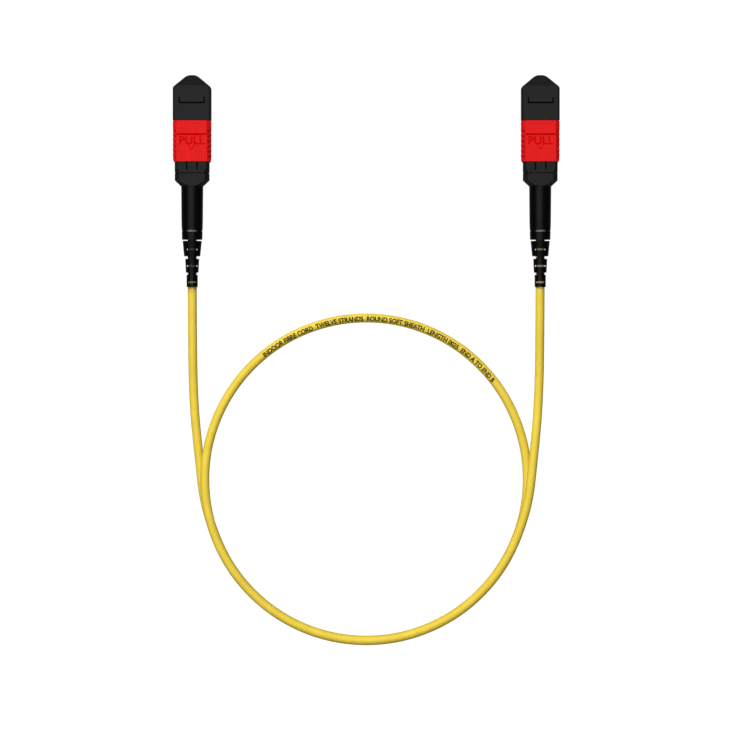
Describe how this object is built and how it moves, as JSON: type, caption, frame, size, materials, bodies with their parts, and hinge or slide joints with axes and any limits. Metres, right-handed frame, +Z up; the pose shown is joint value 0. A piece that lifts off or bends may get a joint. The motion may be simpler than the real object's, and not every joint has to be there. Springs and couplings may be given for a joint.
{
  "type": "mpo trunk cable",
  "caption": "Round fibre trunk cable laid in a loop, with a push-pull multi-fibre plug, a red pull sleeve, a slotted boot and a dust cap on each end.",
  "frame": {"origin": "on the surface the cable lies on, midway between the two plugs and midway along them", "axes": "+X from the left plug to the right plug, +Y the way both plugs face, +Z up"},
  "size_m": [0.1286, 0.1899, 0.0092],
  "materials": {
    "cable_jacket": "soft satin jacket",
    "cap_plastic": "fine matt moulding",
    "sleeve_plastic": "satin moulding",
    "housing_plastic": "fine matt moulding",
    "boot_rubber": "soft satin elastomer",
    "crimp_metal": "drawn metal",
    "ferrule_resin": "glass-filled resin",
    "fibre_boot_rubber": "soft elastomer",
    "spacer_steel": "pressed steel",
    "spring_steel": "spring wire",
    "fibre_coating": "coated fibres",
    "yarn": "strength yarn"
  },
  "bodies": {
    "trunk": {"cable": "cable_jacket", "left_plug_housing": "housing_plastic", "left_rear_body": "housing_plastic", "left_crimp_ring": "crimp_metal", "left_aramid_yarn": "yarn", "left_boot": "boot_rubber", "left_sleeve_spring_left": "spring_steel", "left_sleeve_spring_right": "spring_steel", "left_main_spring": "spring_steel", "left_fibre_ribbon": "fibre_coating", "right_plug_housing": "housing_plastic", "right_rear_body": "housing_plastic", "right_crimp_ring": "crimp_metal", "right_aramid_yarn": "yarn", "right_boot": "boot_rubber", "right_sleeve_spring_left": "spring_steel", "right_sleeve_spring_right": "spring_steel", "right_main_spring": "spring_steel", "right_fibre_ribbon": "fibre_coating"},
    "left_cap": {"left_dust_cap": "cap_plastic"},
    "left_sleeve": {"left_pull_sleeve": "sleeve_plastic"},
    "left_ferrule_group": {"left_ferrule": "ferrule_resin", "left_fibre_boot": "fibre_boot_rubber", "left_pin_spacer": "spacer_steel"},
    "right_cap": {"right_dust_cap": "cap_plastic"},
    "right_sleeve": {"right_pull_sleeve": "sleeve_plastic"},
    "right_ferrule_group": {"right_ferrule": "ferrule_resin", "right_fibre_boot": "fibre_boot_rubber", "right_pin_spacer": "spacer_steel"}
  },
  "joints": [
    {"name": "left_cap_pull", "type": "slide", "parent": "trunk", "child": "left_cap", "axis": [0, 1, 0], "range_m": [0, 0.02]},
    {"name": "left_sleeve_pull", "type": "slide", "parent": "trunk", "child": "left_sleeve", "axis": [0, -1, 0], "range_m": [0, 0.002], "stiffness_N_per_m": 900, "deforming": ["left_sleeve_spring_left", "left_sleeve_spring_right"]},
    {"name": "left_ferrule_float", "type": "slide", "parent": "trunk", "child": "left_ferrule_group", "axis": [0, -1, 0], "range_m": [0, 0.0008], "stiffness_N_per_m": 1500, "deforming": ["left_main_spring", "left_fibre_ribbon"]},
    {"name": "right_cap_pull", "type": "slide", "parent": "trunk", "child": "right_cap", "axis": [0, 1, 0], "range_m": [0, 0.02]},
    {"name": "right_sleeve_pull", "type": "slide", "parent": "trunk", "child": "right_sleeve", "axis": [0, -1, 0], "range_m": [0, 0.002], "stiffness_N_per_m": 900, "deforming": ["right_sleeve_spring_left", "right_sleeve_spring_right"]},
    {"name": "right_ferrule_float", "type": "slide", "parent": "trunk", "child": "right_ferrule_group", "axis": [0, -1, 0], "range_m": [0, 0.0008], "stiffness_N_per_m": 1500, "deforming": ["right_main_spring", "right_fibre_ribbon"]}
  ]
}
